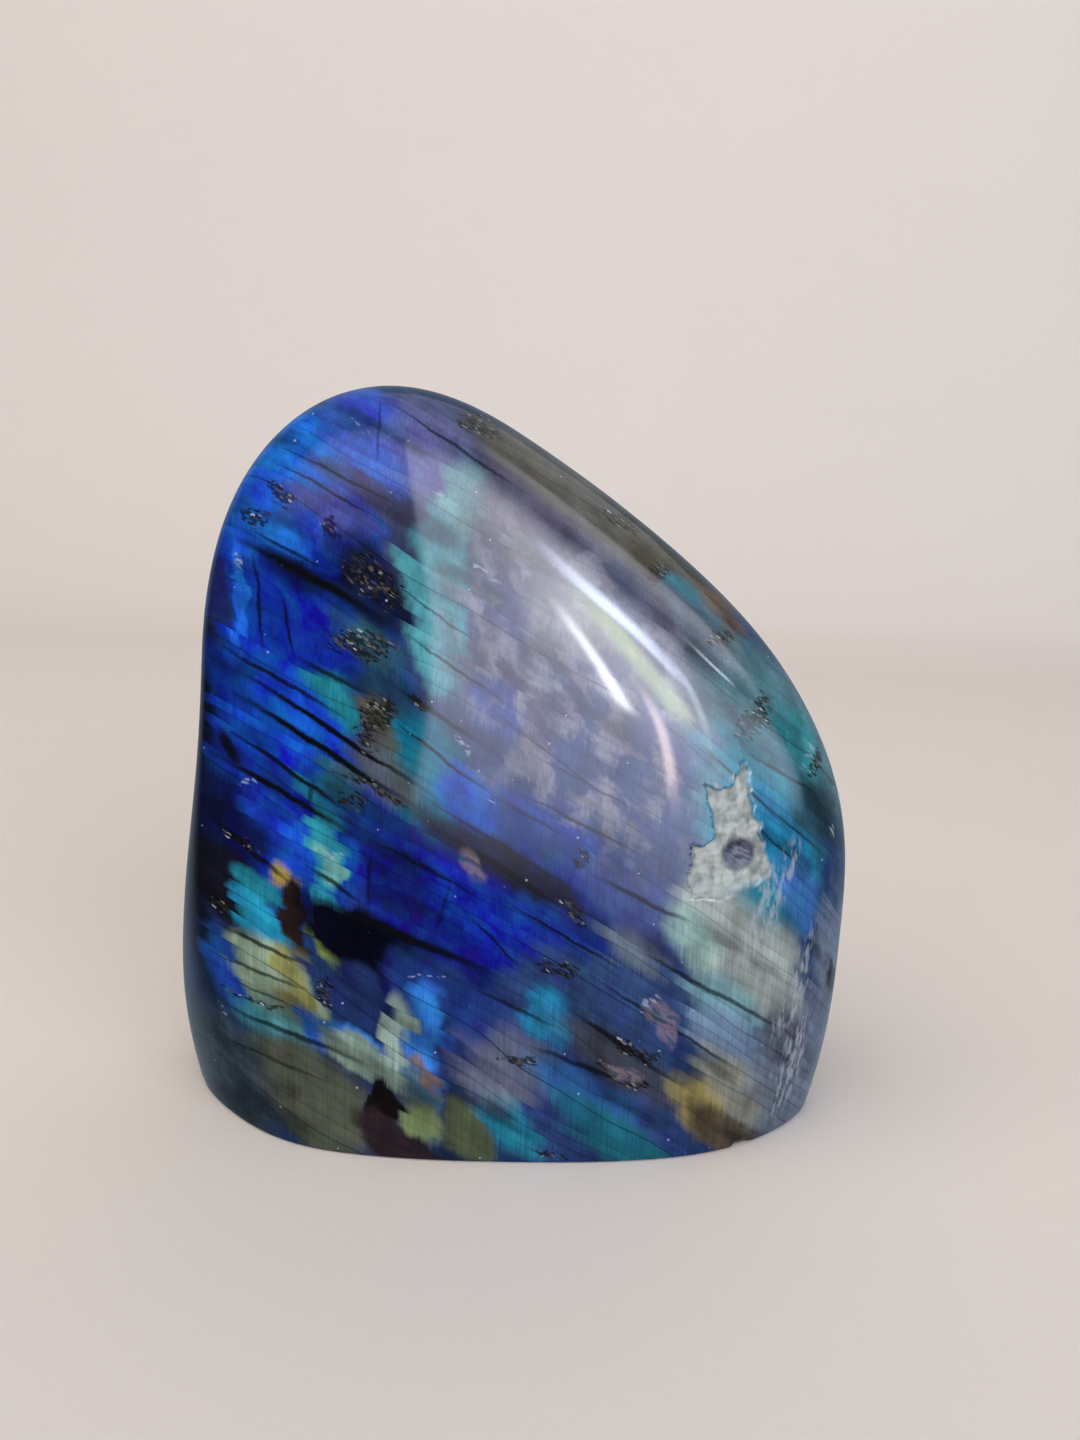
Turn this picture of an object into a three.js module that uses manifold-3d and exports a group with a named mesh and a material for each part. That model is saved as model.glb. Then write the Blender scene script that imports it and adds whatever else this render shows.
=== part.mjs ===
import * as THREE from 'three';
import Module from 'manifold-3d';

// Polished labradorite freeform: one natural stone ground to a leaning, pointed outline with broad,
// gently swollen faces, and sawn flat underneath so that it stands.
// Millimetres, +Z up, front face towards -Y, centred over the flat on z = 0.

// Upright outline seen from the front
const HEART_HEIGHT = 48; // height of the inner point that every face is measured from
const OUTLINE = [
  59.5, 58, 57, 57, 57.5, 61, 68.5, 82,
  81.5, 70.5, 58.5, 54, 55, 59.5, 69, 79,
  87, 91, 91.5, 90, 86, 79, 69.5, 61.5,
]; // reach from the heart every 15 degrees, from +X up over the peak and round

// Ground faces: direction, distance from the heart, and reach of the swell (smaller is rounder)
const FRONT_FACES = [
  { direction: [0.05, -1, 0.1], distance: 21, swell: 110 }, // broad front
  { direction: [0.477, -0.707, 0.523], distance: 41.5, swell: 200 }, // upper right shoulder
  { direction: [0.605, -0.796, -0.03], distance: 42, swell: 200 }, // right bevel
  { direction: [-0.63, -0.76, -0.1], distance: 47, swell: 200 }, // left bevel
];
const BACK_FACES = [
  { direction: [-0.03, 1, 0.09], distance: 23, swell: 120 }, // broad back
  { direction: [0.5, 0.72, 0.48], distance: 50, swell: 200 }, // upper right
  { direction: [0.72, 0.69, -0.02], distance: 53, swell: 200 }, // right
  { direction: [-0.7, 0.72, 0.05], distance: 54, swell: 200 }, // left
];
const FACE_BLEND = 8; // softness of the ridge between two faces, higher is crisper
const RIM_BLEND = 16; // softness of the rim between the faces and the outline

// Grid of the polished skin
const COLUMNS = 116; // round the outline
const FACE_ROWS = 13; // from the middle of the front or back to its rim
const RIM_ROWS = 10; // across the rim from front to back

// Unpolished hollow on the right bevel, where the grinding stopped short of a broken cleavage face
const HOLLOW_MIDDLE = [35, 54]; // x and z
const HOLLOW_RIM = [
  [37.4, 66.5], [36, 68.5], [35.2, 65], [34, 64.6], [31.8, 64.2], [30, 65.2], [30.6, 63],
  [31.5, 60.8], [32.1, 58.4], [32.3, 56.4], [30.8, 55], [28.3, 55.5], [28.8, 53.4], [28.3, 50.7],
  [28.3, 48.5], [29.5, 46.8], [33, 46], [37.4, 45], [41.7, 45.6], [43.4, 48.1], [42.5, 50.7],
  [41.6, 53.7], [40.2, 56.6], [38.9, 60], [37.9, 63.2],
];
const HOLLOW_RINGS = 7;
const LEDGE_DEPTH = 0.95; // step down at the ragged left edge
const LEDGE_RISE = 0.058; // depth lost for each millimetre to the right
const FLOOR_ROUGHNESS = 0.14;
const PIT_MIDDLE = [36.8, 53.4];
const PIT_RADIUS = 2.6;
const PIT_DEPTH = 0.8;

// Small losses on the edges: middle, half sizes, turn about z in degrees
const CHIPS = [
  { middle: [-55.4, -5, -0.2], half: [1.3, 2.6, 1.6], turn: 25 }, // lower left corner
  { middle: [42, -15.4, -0.2], half: [2.4, 0.9, 1.2], turn: 28 }, // under the right bevel
  { middle: [56.1, -7.1, 28.8], half: [0.8, 1.6, 2.6], turn: -40 }, // right rim
];

const heart = new THREE.Vector3(0, 0, HEART_HEIGHT);

function withUnitDirections(faces) {
  return faces.map((face) => ({
    ...face,
    direction: new THREE.Vector3(...face.direction).normalize(),
  }));
}

const frontFaces = withUnitDirections(FRONT_FACES);
const backFaces = withUnitDirections(BACK_FACES);

function softLargest(values, blend) {
  return values.reduce((sum, value) => sum + value ** blend, 0) ** (1 / blend);
}

// Smooth closed curve through the neighbourhood of the outline radii
function outlineRadius(angle) {
  const count = OUTLINE.length;
  const place = (((angle / (2 * Math.PI)) * count) % count + count) % count;
  const first = Math.floor(place);
  const t = place - first;
  const [a, b, c, d] = [-1, 0, 1, 2].map((step) => OUTLINE[(first + step + count) % count]);
  const weights = [
    (1 - t) ** 3,
    3 * t ** 3 - 6 * t ** 2 + 4,
    -3 * t ** 3 + 3 * t ** 2 + 3 * t + 1,
    t ** 3,
  ];
  return (weights[0] * a + weights[1] * b + weights[2] * c + weights[3] * d) / 6;
}

// How far out a point lies along one face's own swell: 1 on the face, less inside
function faceGauge(offset, face) {
  const along = offset.dot(face.direction);
  const aside = Math.max(0, offset.lengthSq() - along ** 2);
  return Math.sqrt((Math.max(0, along) / face.distance) ** 2 + aside / face.swell ** 2);
}

// The same for the whole stone, for an offset from the heart
function stoneGauge(offset) {
  const outline = Math.hypot(offset.x, offset.z) / outlineRadius(Math.atan2(offset.z, offset.x));
  const front = softLargest(frontFaces.map((face) => faceGauge(offset, face)), FACE_BLEND);
  const back = softLargest(backFaces.map((face) => faceGauge(offset, face)), FACE_BLEND);
  return softLargest([outline, front, back], RIM_BLEND);
}

// Angles from the front pole to the back pole, stepped evenly along a box-shaped profile
function rowAngles() {
  const front = FRONT_FACES[0].distance;
  const back = BACK_FACES[0].distance;
  const rim = OUTLINE[0];
  const angles = [];
  for (let row = 1; row <= FACE_ROWS; row += 1) {
    const reach = rim * Math.sin((row / FACE_ROWS) * (Math.PI / 2));
    angles.push(Math.atan2(reach, front));
  }
  for (let row = 1; row < RIM_ROWS; row += 1) {
    const depth = -front + ((front + back) * row) / RIM_ROWS;
    angles.push(Math.atan2(rim, -depth));
  }
  for (let row = FACE_ROWS; row >= 1; row -= 1) {
    const reach = rim * Math.sin((row / FACE_ROWS) * (Math.PI / 2));
    angles.push(Math.atan2(reach, -back));
  }
  return angles;
}

function skinPoint(column, fromFront) {
  const direction = new THREE.Vector3(
    Math.sin(fromFront) * Math.cos(column),
    -Math.cos(fromFront),
    Math.sin(fromFront) * Math.sin(column),
  );
  return direction.divideScalar(stoneGauge(direction)).add(heart);
}

function polishedSkin() {
  const rows = rowAngles();
  const points = [skinPoint(0, 0)];
  rows.forEach((fromFront) => {
    for (let column = 0; column < COLUMNS; column += 1) {
      points.push(skinPoint((column / COLUMNS) * 2 * Math.PI, fromFront));
    }
  });
  points.push(skinPoint(0, Math.PI));

  const at = (row, column) => 1 + row * COLUMNS + (column % COLUMNS);
  const last = points.length - 1;
  const triangles = [];
  for (let column = 0; column < COLUMNS; column += 1) {
    triangles.push([0, at(0, column), at(0, column + 1)]);
    for (let row = 0; row < rows.length - 1; row += 1) {
      const corners = [
        at(row, column),
        at(row + 1, column),
        at(row + 1, column + 1),
        at(row, column + 1),
      ];
      triangles.push([corners[0], corners[1], corners[2]]);
      triangles.push([corners[0], corners[2], corners[3]]);
    }
    triangles.push([last, at(rows.length - 1, column + 1), at(rows.length - 1, column)]);
  }
  return { points, triangles };
}

// Point of the front skin straight behind x and z
function frontPoint(x, z) {
  let outside = -80;
  let inside = 0;
  for (let step = 0; step < 40; step += 1) {
    const middle = (outside + inside) / 2;
    if (stoneGauge(new THREE.Vector3(x, middle, z - HEART_HEIGHT)) < 1) {
      inside = middle;
    } else {
      outside = middle;
    }
  }
  return new THREE.Vector3(x, inside, z);
}

function skinNormal(point) {
  const offset = point.clone().sub(heart);
  const step = 0.05;
  const slope = ['x', 'y', 'z'].map((axis) => {
    const ahead = offset.clone();
    const behind = offset.clone();
    ahead[axis] += step;
    behind[axis] -= step;
    return stoneGauge(ahead) - stoneGauge(behind);
  });
  return new THREE.Vector3(...slope).normalize();
}

function hollowDepth(x, z) {
  const ledge = LEDGE_DEPTH - LEDGE_RISE * (x - HOLLOW_RIM[13][0]);
  const fade = 0.16 * Math.max(0, 50 - z);
  const away = Math.hypot(x - PIT_MIDDLE[0], z - PIT_MIDDLE[1]) / PIT_RADIUS;
  const pit = PIT_DEPTH * Math.exp(-(away ** 4));
  const grain = Math.sin(2.3 * x + 1.1 * z) + Math.sin(3.1 * z - 1.7 * x + 0.8);
  return ledge - fade + pit + FLOOR_ROUGHNESS * grain;
}

// Body that fills the hollow: a rough floor under the skin, a lid above it, and straight walls
function hollowCutter() {
  const [middleX, middleZ] = HOLLOW_MIDDLE;
  const outward = skinNormal(frontPoint(middleX, middleZ));
  const ring = HOLLOW_RIM.length;
  const floor = [];
  const lid = [];
  const place = (x, z) => {
    const skin = frontPoint(x, z);
    floor.push(skin.clone().addScaledVector(outward, -hollowDepth(x, z)));
    lid.push(skin.clone().addScaledVector(outward, 3));
  };
  place(middleX, middleZ);
  for (let step = 1; step <= HOLLOW_RINGS; step += 1) {
    const share = step / HOLLOW_RINGS;
    HOLLOW_RIM.forEach(([x, z]) => {
      place(middleX + share * (x - middleX), middleZ + share * (z - middleZ));
    });
  }

  const shift = floor.length;
  const at = (step, index) => 1 + (step - 1) * ring + (index % ring);
  const triangles = [];
  const both = (a, b, c) => {
    triangles.push([a, c, b]);
    triangles.push([a + shift, b + shift, c + shift]);
  };
  for (let index = 0; index < ring; index += 1) {
    both(0, at(1, index), at(1, index + 1));
    for (let step = 1; step < HOLLOW_RINGS; step += 1) {
      both(at(step, index), at(step + 1, index), at(step + 1, index + 1));
      both(at(step, index), at(step + 1, index + 1), at(step, index + 1));
    }
    const here = at(HOLLOW_RINGS, index);
    const next = at(HOLLOW_RINGS, index + 1);
    triangles.push([here, next, next + shift]);
    triangles.push([here, next + shift, here + shift]);
  }
  return { points: [...floor, ...lid], triangles };
}

// Lumpy body of one chip
function chipCutter(chip) {
  const ball = new THREE.IcosahedronGeometry(1, 2).getAttribute('position');
  const turn = new THREE.Matrix4().makeRotationZ((chip.turn * Math.PI) / 180);
  const points = [];
  const known = new Map();
  const triangles = [];
  for (let start = 0; start < ball.count; start += 3) {
    const corners = [0, 1, 2].map((step) => {
      const corner = new THREE.Vector3().fromBufferAttribute(ball, start + step);
      const key = corner.toArray().map((value) => value.toFixed(4)).join(' ');
      if (!known.has(key)) {
        const lump = 1 + 0.12 * Math.sin(5 * corner.x + 3 * corner.z) * Math.cos(4 * corner.y);
        corner.multiplyScalar(lump).multiply(new THREE.Vector3(...chip.half));
        known.set(key, points.length);
        points.push(corner.applyMatrix4(turn).add(new THREE.Vector3(...chip.middle)));
      }
      return known.get(key);
    });
    triangles.push(corners);
  }
  return { points, triangles };
}

// Block below z = 0 that leaves the sawn flat
function belowGround() {
  const block = new THREE.BoxGeometry(200, 200, 80);
  block.translate(0, 0, -40);
  const position = block.getAttribute('position');
  const points = [];
  const known = new Map();
  const merged = Array.from({ length: position.count }, (_, index) => {
    const corner = new THREE.Vector3().fromBufferAttribute(position, index);
    const key = corner.toArray().join(' ');
    if (!known.has(key)) {
      known.set(key, points.length);
      points.push(corner);
    }
    return known.get(key);
  });
  const order = Array.from(block.getIndex().array, (index) => merged[index]);
  const triangles = [];
  for (let start = 0; start < order.length; start += 3) {
    triangles.push(order.slice(start, start + 3));
  }
  return { points, triangles };
}

const wasm = await Module();
wasm.setup();

function solid({ points, triangles }) {
  return new wasm.Manifold(new wasm.Mesh({
    numProp: 3,
    vertProperties: new Float32Array(points.flatMap((point) => point.toArray())),
    triVerts: new Uint32Array(triangles.flat()),
  }));
}

let stone = solid(polishedSkin());
stone = stone.subtract(solid(belowGround()));
stone = stone.subtract(solid(hollowCutter()));
CHIPS.forEach((chip) => {
  stone = stone.subtract(solid(chipCutter(chip)));
});

const finished = stone.getMesh();
const geometry = new THREE.BufferGeometry();
geometry.setAttribute('position', new THREE.BufferAttribute(finished.vertProperties, 3));
geometry.setIndex(new THREE.BufferAttribute(finished.triVerts, 1));
geometry.computeVertexNormals();

const polishedStone = new THREE.MeshStandardMaterial({
  color: '#5a6d86',
  roughness: 0.12,
  metalness: 0,
});
polishedStone.name = 'polished_labradorite';

const labradorite = new THREE.Mesh(geometry, polishedStone);
labradorite.name = 'labradorite';

const group = new THREE.Group();
group.name = 'labradorite_freeform';
group.add(labradorite);

export default group;
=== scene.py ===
import math

import bmesh
import bpy
import numpy as np
from mathutils import Matrix, Vector, noise


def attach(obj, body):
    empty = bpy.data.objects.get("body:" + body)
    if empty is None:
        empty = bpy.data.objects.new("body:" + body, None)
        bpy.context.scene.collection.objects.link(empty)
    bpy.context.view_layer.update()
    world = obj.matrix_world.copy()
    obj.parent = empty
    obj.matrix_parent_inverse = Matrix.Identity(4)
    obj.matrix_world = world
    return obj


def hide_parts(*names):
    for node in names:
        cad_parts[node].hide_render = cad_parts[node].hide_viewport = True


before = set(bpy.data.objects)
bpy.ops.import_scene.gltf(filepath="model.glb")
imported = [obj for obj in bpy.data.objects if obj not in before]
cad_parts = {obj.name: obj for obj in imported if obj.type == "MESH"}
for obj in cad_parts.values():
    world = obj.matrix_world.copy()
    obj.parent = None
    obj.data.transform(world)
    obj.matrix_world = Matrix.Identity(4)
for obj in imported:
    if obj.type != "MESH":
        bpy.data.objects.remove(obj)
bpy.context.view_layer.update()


# The camera: a phone's wide lens held close, tipped down and turned a little, so the stone leans
# to the right in the picture.
CAMERA_PLACE = Vector((0.0035, -0.1841, 0.1146))
CAMERA_PITCH = math.radians(13.5)
CAMERA_ROLL = math.radians(2.8)
PIXELS_HIGH = 1440
FOCAL_PIXELS = 1100

camera = bpy.data.objects.new("camera", bpy.data.cameras.new("camera"))
camera.data.sensor_width = 36
camera.data.lens = 36 * FOCAL_PIXELS / PIXELS_HIGH
camera.data.clip_start = 0.01
camera.matrix_world = (
    Matrix.Translation(CAMERA_PLACE)
    @ Matrix.Rotation(math.pi / 2 - CAMERA_PITCH, 4, "X")
    @ Matrix.Rotation(CAMERA_ROLL, 4, "Z")
)
bpy.context.scene.collection.objects.link(camera)
bpy.context.scene.camera = camera


# The table top: painted board, off-white and slightly warm, with the faint unevenness of a
# rolled coat of paint.
def linear(colour):
    """An sRGB hex colour as linear red, green, blue and alpha."""
    parts = [int(colour[i:i + 2], 16) / 255 for i in (1, 3, 5)]
    return [c / 12.92 if c <= 0.04045 else ((c + 0.055) / 1.055) ** 2.4 for c in parts] + [1.0]


def node(tree, kind, inputs=None, output=0, mapping=None, **settings):
    """Add a shader node with its settings and links, and give back one of its outputs."""
    made = tree.nodes.new(kind)
    for name, value in settings.items():
        setattr(made, name, value)
    for name, value in (mapping or {}).items():
        setattr(made.texture_mapping, name, value)
    for name, value in (inputs or {}).items():
        if isinstance(value, bpy.types.NodeSocket):
            tree.links.new(value, made.inputs[name])
        else:
            made.inputs[name].default_value = value
    return made.outputs[output] if made.outputs else made


TABLE_COLOUR = "#e6e1db"
TABLE_REACH = 3.0
SWEEP_START = 0.45
SWEEP_RADIUS = 0.3
BACKDROP_HEIGHT = 2.0
ROLLER_DIMPLE = 1 / 420  # m, so about 2.4 mm from one dimple of the rolled paint to the next

# The board runs back and sweeps up into a plain backdrop
sweep = [(-TABLE_REACH, 0.0), (SWEEP_START, 0.0)]
sweep += [
    (SWEEP_START + SWEEP_RADIUS * math.sin(t), SWEEP_RADIUS * (1 - math.cos(t)))
    for t in np.linspace(0, math.pi / 2, 25)[1:]
]
sweep.append((SWEEP_START + SWEEP_RADIUS, BACKDROP_HEIGHT))
mesh = bpy.data.meshes.new("table_top")
mesh.from_pydata(
    [(side * TABLE_REACH, deep, high) for deep, high in sweep for side in (-1, 1)],
    [],
    [(2 * i, 2 * i + 1, 2 * i + 3, 2 * i + 2) for i in range(len(sweep) - 1)],
)
mesh.shade_smooth()
table_top = bpy.data.objects.new("table_top", mesh)
bpy.context.scene.collection.objects.link(table_top)

paint = bpy.data.materials.new("rolled_white_paint")
paint.use_nodes = True
tree = paint.node_tree
shader = tree.nodes["Principled BSDF"]
shader.inputs["Base Color"].default_value = linear(TABLE_COLOUR)
shader.inputs["Roughness"].default_value = 0.75
shader.inputs["Specular IOR Level"].default_value = 0.3
place = node(tree, "ShaderNodeTexCoord", output="Object")
roller = node(
    tree, "ShaderNodeTexNoise", {"Vector": place, "Scale": 1 / ROLLER_DIMPLE, "Detail": 3},
)
relief = node(tree, "ShaderNodeBump", {"Height": roller, "Strength": 0.15, "Distance": 0.0006})
tree.links.new(relief, shader.inputs["Normal"])
table_top.data.materials.append(paint)
table_top.visible_glossy = False


# The light: a curtained window in front and to the right, seen in the polish as a pale veil that ends
# in a sharp left edge, with bright gaps beside the curtain that make the streaks on the shoulder, and
# a soft ceiling overhead. The window is one big lamp whose panes are drawn on it in its own nodes.
LIGHT_TARGET = Vector((0.0, -0.015, 0.06))
WINDOW_TURN, WINDOW_LIFT, WINDOW_AWAY = math.radians(25), math.radians(22), 1.2
WINDOW_MIDDLE, WINDOW_SIZE = (0.2, 0.1), (3.8, 3.0)
# Each pane: across and up, width and height in metres, roll, brightness, colour, and the share of it
# that fades out at its left, right, bottom and top
PANES = {
    "curtain": ((0.06, -0.17), (1.35, 1.75), -18, 3.4, "#eae8fa", (0.02, 0.3, 0.3, 0.25)),
    "upper_veil": ((-0.95, 0.62), (1.3, 0.85), 0, 0.9, "#eceaff", (0.5, 0.3, 0.15, 0.4)),
    "bright_curtain": ((0.1, 0.08), (1.0, 1.2), -15, 5.4, "#f2f2f6", (0.5, 0.5, 0.5, 0.5)),
    "side_veil": ((1.1, -0.05), (1.5, 1.0), 0, 3.0, "#e4f0ff", (0.4, 0.4, 0.5, 0.4)),
    "sash": ((1.1, 0.95), (1.9, 1.0), -4, 2.2, "#f0ecf4", (0.4, 0.2, 0.4, 0.3)),
    "garden_pane": ((0.17, 0.04), (0.28, 0.5), 28, 6.0, "#d2f08c", (0.4, 0.4, 0.3, 0.3)),
    "blue_gap": ((0.25, 0.235), (0.54, 0.2), -26, 17, "#d6e4ff", (0.4, 0.35, 0.3, 0.5)),
    "inner_gap": ((-0.085, -0.05), (0.09, 0.36), 8, 18, "#ffffff", (0.45, 0.45, 0.1, 0.7)),
    "outer_gap": ((0.05, -0.32), (0.08, 0.54), -8, 12, "#ffe2dc", (0.3, 0.5, 0.5, 0.3)),
    "frame_gap": ((0.4, -0.02), (0.07, 0.5), -21, 5, "#e4eeff", (0.4, 0.2, 0.5, 0.25)),
    "far_gap": ((1.01, 0.44), (0.36, 0.06), -9, 12, "#dfe9ff", (0.5, 0.4, 0.4, 0.3)),
}
# Each lamp: place, width and height, brightness, colour, and whether the polish mirrors it
ROOM_LIGHTS = {
    "window_light": (None, (1.3, 1.4), 3.5, "#f2f2ff", False),
    "ceiling": (Vector((0.5, 0.28, 1.05)), (1.25, 1.25), 0.4, "#fffaf2", True),
    "fill": (Vector((-0.7, -0.45, 1.3)), (1.4, 1.4), 2.2, "#fff3e6", False),
}
FRONT_SHADE = "#2c3036"
REAR_SHADE = "#7c8792"
BACKGROUND = "#9aa3ad"

toward = Vector((
    math.sin(WINDOW_TURN) * math.cos(WINDOW_LIFT),
    -math.cos(WINDOW_TURN) * math.cos(WINDOW_LIFT),
    math.sin(WINDOW_LIFT),
))
window_place = LIGHT_TARGET + WINDOW_AWAY * toward


def add_light(name, place, size, brightness, colour):
    """Add a soft rectangular lamp that faces the stone and isn't itself in the picture."""
    lamp = bpy.data.lights.new(name, "AREA")
    lamp.shape = "RECTANGLE"
    lamp.size, lamp.size_y = size
    lamp.energy = brightness * math.pi * size[0] * size[1]
    lamp.color = linear(colour)[:3]
    made = bpy.data.objects.new(name, lamp)
    made.matrix_world = Matrix.Translation(place) @ (place - LIGHT_TARGET).to_track_quat(
        "Z", "Y",
    ).to_matrix().to_4x4()
    made.visible_camera = False
    bpy.context.scene.collection.objects.link(made)
    return made


for name, (place, size, brightness, colour, mirrored) in ROOM_LIGHTS.items():
    lamp = add_light(name, place or window_place, size, brightness, colour)
    lamp.visible_glossy = mirrored

# The mirrored window lights only the polish; window_light does the rest
window = add_light("window", window_place, WINDOW_SIZE, 1.0, "#ffffff")
window.matrix_world = window.matrix_world @ Matrix.Translation((*WINDOW_MIDDLE, 0))
window.visible_diffuse = False
window.data.use_nodes = True
tree = window.data.node_tree
spot = node(tree, "ShaderNodeNewGeometry", output="Parametric")
corner = [WINDOW_MIDDLE[i] - WINDOW_SIZE[i] / 2 for i in (0, 1)]
spot = node(
    tree, "ShaderNodeVectorMath", {0: spot, 1: (*WINDOW_SIZE, 0), 2: (*corner, 0)},
    operation="MULTIPLY_ADD",
)
glow = (0, 0, 0)
for name, (middle, size, roll, brightness, colour, (left, right, bottom, top)) in PANES.items():
    inside = node(
        tree, "ShaderNodeMapping",
        {"Vector": spot, "Location": (*middle, 0), "Rotation": (0, 0, math.radians(roll)),
         "Scale": (*size, 1)},
        vector_type="TEXTURE", label=name,
    )
    low_edges = node(
        tree, "ShaderNodeMapRange",
        {6: inside, 7: (-0.5, -0.5, -2), 8: (left - 0.5, bottom - 0.5, -1)},
        output=1, data_type="FLOAT_VECTOR", interpolation_type="SMOOTHSTEP", clamp=False,
    )
    high_edges = node(
        tree, "ShaderNodeMapRange",
        {6: inside, 7: (0.5, 0.5, 2), 8: (0.5 - right, 0.5 - top, 1)},
        output=1, data_type="FLOAT_VECTOR", interpolation_type="SMOOTHSTEP", clamp=False,
    )
    edges = node(
        tree, "ShaderNodeVectorMath", {0: low_edges, 1: high_edges}, operation="MULTIPLY",
    )
    across, up, _ = node(tree, "ShaderNodeSeparateXYZ", {0: edges}).node.outputs
    share = node(tree, "ShaderNodeMath", {0: across, 1: up}, operation="MULTIPLY")
    light = [brightness * part for part in linear(colour)[:3]]
    glow = node(
        tree, "ShaderNodeVectorMath", {0: share, 1: light, 2: glow}, operation="MULTIPLY_ADD",
    )
tree.links.new(glow, tree.nodes["Emission"].inputs["Color"])

# The surroundings: dark in front and paler behind, which the stone's edges pick up
world = bpy.data.worlds.new("surroundings")
world.use_nodes = True
tree = world.node_tree
tree.nodes.clear()
camera_ray = node(tree, "ShaderNodeLightPath", output="Is Camera Ray")
way = node(tree, "ShaderNodeTexCoord", output="Generated")
_, backward, _ = node(tree, "ShaderNodeSeparateXYZ", {0: way}).node.outputs
rear = node(
    tree, "ShaderNodeMapRange", {"Value": backward, "From Min": 0.1, "From Max": 0.6},
    interpolation_type="SMOOTHSTEP",
)
shade = node(
    tree, "ShaderNodeMix", {0: rear, 6: linear(FRONT_SHADE), 7: linear(REAR_SHADE)},
    output=2, data_type="RGBA",
)
shade = node(
    tree, "ShaderNodeMix", {0: camera_ray, 6: shade, 7: linear(BACKGROUND)},
    output=2, data_type="RGBA",
)
sky = node(tree, "ShaderNodeBackground", {"Color": shade})
node(tree, "ShaderNodeOutputWorld", {"Surface": sky})
bpy.context.scene.world = world
bpy.context.scene.view_settings.view_transform = "Standard"


# The stone: one piece of labradorite, a calcium-rich feldspar whose thin layers flash blue, teal
# and green. It was ground to a leaning, pointed outline with broad, gently swollen faces, sawn flat
# underneath and polished, except for a broken hollow on the right bevel that the wheel never reached.
HEART = np.array([0.0, 0.0, 48.0])  # mm, the inner point that every face is measured from
OUTLINE = [
    59.5, 58, 57, 57, 57.5, 61, 68.5, 82,
    81.5, 70.5, 58.5, 54, 55, 59.5, 69, 79,
    87, 91, 91.5, 90, 86, 79, 69.5, 61.5,
]  # reach from the heart every 15 degrees, from +X up over the peak and round
FRONT_FACES = [
    ((0.05, -1, 0.1), 21, 110),  # broad front: direction, distance, swell
    ((0.477, -0.707, 0.523), 41.5, 200),  # upper right shoulder
    ((0.605, -0.796, -0.03), 42, 200),  # right bevel
    ((-0.63, -0.76, -0.1), 47, 200),  # left bevel
]
BACK_FACES = [
    ((-0.03, 1, 0.09), 23, 120),
    ((0.5, 0.72, 0.48), 50, 200),
    ((0.72, 0.69, -0.02), 53, 200),
    ((-0.7, 0.72, 0.05), 54, 200),
]
FACE_BLEND = 8
RIM_BLEND = 16
COLUMNS = 470
ROWS = 190
WAVE_HEIGHT = 0.07
WAVE_LENGTH = 17

HOLLOW_RIM = np.array([
    [37.4, 66.5], [36, 68.5], [35.2, 65], [34, 64.6], [31.8, 64.2], [30, 65.2], [30.6, 63],
    [31.5, 60.8], [32.1, 58.4], [32.3, 56.4], [30.8, 55], [28.3, 55.5], [28.8, 53.4], [28.3, 50.7],
    [28.3, 48.5], [29.5, 46.8], [33, 46], [37.4, 45], [41.7, 45.6], [43.4, 48.1], [42.5, 50.7],
    [41.6, 53.7], [40.2, 56.6], [38.9, 60], [37.9, 63.2],
])
RIM_RAGGED = 0.55
STEP_RUN = 0.3
LEDGE_DEPTH = 0.95
LEDGE_RISE = 0.058  # mm for each mm to the right
FOOT_TOP = 50
FOOT_RISE = 0.16  # mm for each mm down
FLOOR_GRAIN = ((0.16, 1.9, 41.0), (0.1, 0.75, 57.0))  # height, size, seed
MATT_RUN = 0.35  # mm in from the rim until the break is fully matt
MATT_DEPTH = 0.25  # mm of depth over which it turns matt
PIT_MIDDLE = (36.8, 53.4)
PIT_RADIUS = 2.6
PIT_DEPTH = 0.8
CHIPS = [
    ((-55.4, -5, -0.2), (1.3, 2.6, 1.6), 25),  # lower left corner: middle, half sizes, turn
    ((42, -15.4, -0.2), (2.4, 0.9, 1.2), 28),  # under the right bevel
    ((56.1, -7.1, 28.8), (0.8, 1.6, 2.6), -40),  # right rim
]
CHIP_RAGGED = 0.12  # share of a chip's size by which its rim wanders
BASE_EDGE = 0.7  # mm, radius worn round the sawn flat
EDGE_RINGS = (0.0, 0.12, 0.3, 0.5, BASE_EDGE)  # heights at which that radius is drawn
EDGE_PULL = 0.8  # share of that radius that is worn away at the very bottom
FLAT_SHAPE = 4.5  # how much more the flat's long sides are pulled inward than its ends


def outline_radius(angle):
    """How far the outline reaches from the heart at an angle, on a smooth curve through OUTLINE."""
    radii = np.array(OUTLINE)
    count = len(radii)
    place = (angle / (2 * math.pi) * count) % count
    first = np.floor(place).astype(int)
    t = place - first
    a, b, c, d = (radii[(first + step) % count] for step in (-1, 0, 1, 2))
    return (
        (1 - t) ** 3 * a
        + (3 * t ** 3 - 6 * t ** 2 + 4) * b
        + (-3 * t ** 3 + 3 * t ** 2 + 3 * t + 1) * c
        + t ** 3 * d
    ) / 6


def faces_gauge(offset, faces):
    """1 on a skin of swollen faces blended into each other, less inside."""
    total = 0
    for direction, distance, swell in faces:
        direction = np.array(direction) / np.linalg.norm(direction)
        along = offset @ direction
        aside = np.maximum(0, (offset ** 2).sum(-1) - along ** 2)
        gauge = np.sqrt((np.maximum(0, along) / distance) ** 2 + aside / swell ** 2)
        total = total + gauge ** FACE_BLEND
    return total ** (1 / FACE_BLEND)


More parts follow.
